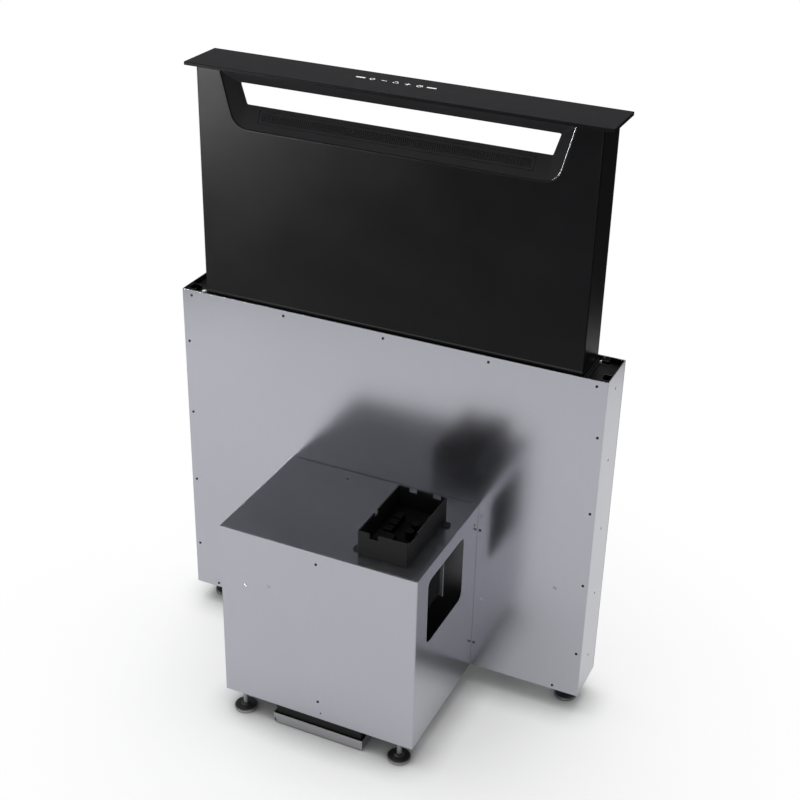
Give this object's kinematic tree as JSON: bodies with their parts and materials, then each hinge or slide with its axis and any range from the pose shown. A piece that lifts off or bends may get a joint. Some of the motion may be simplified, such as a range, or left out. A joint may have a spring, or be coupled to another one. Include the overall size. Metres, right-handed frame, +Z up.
{
  "type": "downdraft vent",
  "caption": "Downdraft cooker vent: flat sheet-metal casing with a blower box in front and a black slotted hood that rises out of its top on a rack-and-pinion lift.",
  "frame": {"origin": "middle of the footprint at floor level, under the feet", "axes": "+X to the right seen from the blower box's side, +Y from the blower box to the casing, +Z up"},
  "size_m": [0.86, 0.389, 1.182],
  "materials": {
    "steel": "brushed sheet",
    "galvanised": "zinc-coated sheet",
    "machined_steel": "machined",
    "foot_steel": "turned",
    "aluminium": "plain mill finish",
    "black_paint": "fine satin powder coat",
    "black_glass": "black backed, satin etched",
    "black_plastic": "fine moulded grain",
    "wheel_plastic": "moulded",
    "nylon": "natural",
    "circuit_board": "varnished board",
    "motor_paint": "semi-gloss",
    "rubber": "matte"
  },
  "bodies": {
    "casing": {"casing_front": "steel", "casing_rear": "steel", "casing_side_left": "steel", "casing_side_right": "steel", "casing_floor": "galvanised", "top_frame": "black_paint", "wiper_seal": "rubber", "rack_left": "machined_steel", "rack_right": "machined_steel", "guide_rail_left": "galvanised", "guide_rail_right": "galvanised", "blower_box_front": "steel", "blower_box_left": "steel", "blower_box_right": "steel", "blower_box_cover": "steel", "blower_box_floor": "galvanised", "outlet_spigot": "black_plastic", "outlet_collar": "aluminium", "scroll_wrap": "galvanised", "scroll_side_left": "galvanised", "scroll_side_right": "galvanised", "blower_motor": "motor_paint", "motor_spider": "galvanised", "electronics_tray": "black_plastic", "control_board": "circuit_board", "wiring_bracket": "galvanised", "terminal_box": "black_plastic", "foot_bosses": "galvanised"},
    "hood": {"hood_shell": "black_paint", "hood_back": "black_paint", "recess_liner": "black_plastic", "cover_plate": "black_glass", "touch_module": "black_plastic", "carriage_beam": "galvanised", "carriage_end_left": "galvanised", "carriage_end_right": "galvanised", "guide_shoe_left": "nylon", "guide_shoe_right": "nylon", "shaft_bush_left": "nylon", "shaft_bush_right": "nylon", "lift_motor": "motor_paint"},
    "cross_shaft": {"cross_shaft": "machined_steel", "pinion_left": "nylon", "pinion_right": "nylon"},
    "grease_filter": {"grease_filter": "black_paint"},
    "impeller": {"impeller": "wheel_plastic", "impeller_blades": "wheel_plastic", "impeller_rings": "wheel_plastic", "wheel_shaft": "machined_steel"},
    "flap_front": {"flap_front": "aluminium"},
    "flap_rear": {"flap_rear": "aluminium"},
    "foot_front_left": {"foot_pad_front_left": "foot_steel", "foot_stem_front_left": "machined_steel"},
    "foot_front_right": {"foot_pad_front_right": "foot_steel", "foot_stem_front_right": "machined_steel"},
    "foot_rear_left": {"foot_pad_rear_left": "foot_steel", "foot_stem_rear_left": "machined_steel"},
    "foot_rear_right": {"foot_pad_rear_right": "foot_steel", "foot_stem_rear_right": "machined_steel"}
  },
  "joints": [
    {"name": "lift", "type": "slide", "parent": "casing", "child": "hood", "axis": [0, 0, 1], "range_m": [-0.4, 0]},
    {"name": "shaft_spin", "type": "hinge", "parent": "hood", "child": "cross_shaft", "pos_m": [0, 0.16155, 0.632], "axis": [1, 0, 0], "range_deg": [0, 1146]},
    {"name": "filter_lift_out", "type": "slide", "parent": "hood", "child": "grease_filter", "axis": [0, -0.8848, 0.4659], "range_m": [0, 0.06]},
    {"name": "wheel_spin", "type": "hinge", "parent": "casing", "child": "impeller", "pos_m": [0.007, -0.048, 0.236], "axis": [1, 0, 0], "continuous": true},
    {"name": "flap_front_hinge", "type": "hinge", "parent": "casing", "child": "flap_front", "pos_m": [0.007, -0.1437, 0.045], "axis": [1, 0, 0], "range_deg": [0, 75], "stiffness_Nm_per_rad": 0.012, "springref_deg": -57.3},
    {"name": "flap_rear_hinge", "type": "hinge", "parent": "casing", "child": "flap_rear", "pos_m": [0.007, -0.1373, 0.045], "axis": [1, 0, 0], "range_deg": [-75, 0], "stiffness_Nm_per_rad": 0.012, "springref_deg": 57.3},
    {"name": "foot_front_left_level", "type": "slide", "parent": "casing", "child": "foot_front_left", "axis": [0, 0, 1], "range_m": [-0.012, 0.02]},
    {"name": "foot_front_right_level", "type": "slide", "parent": "casing", "child": "foot_front_right", "axis": [0, 0, 1], "range_m": [-0.012, 0.02]},
    {"name": "foot_rear_left_level", "type": "slide", "parent": "casing", "child": "foot_rear_left", "axis": [0, 0, 1], "range_m": [-0.012, 0.02]},
    {"name": "foot_rear_right_level", "type": "slide", "parent": "casing", "child": "foot_rear_right", "axis": [0, 0, 1], "range_m": [-0.012, 0.02]}
  ],
  "couplings": [
    {"joint": "shaft_spin", "follows": "lift", "rad_per_m": -50}
  ]
}
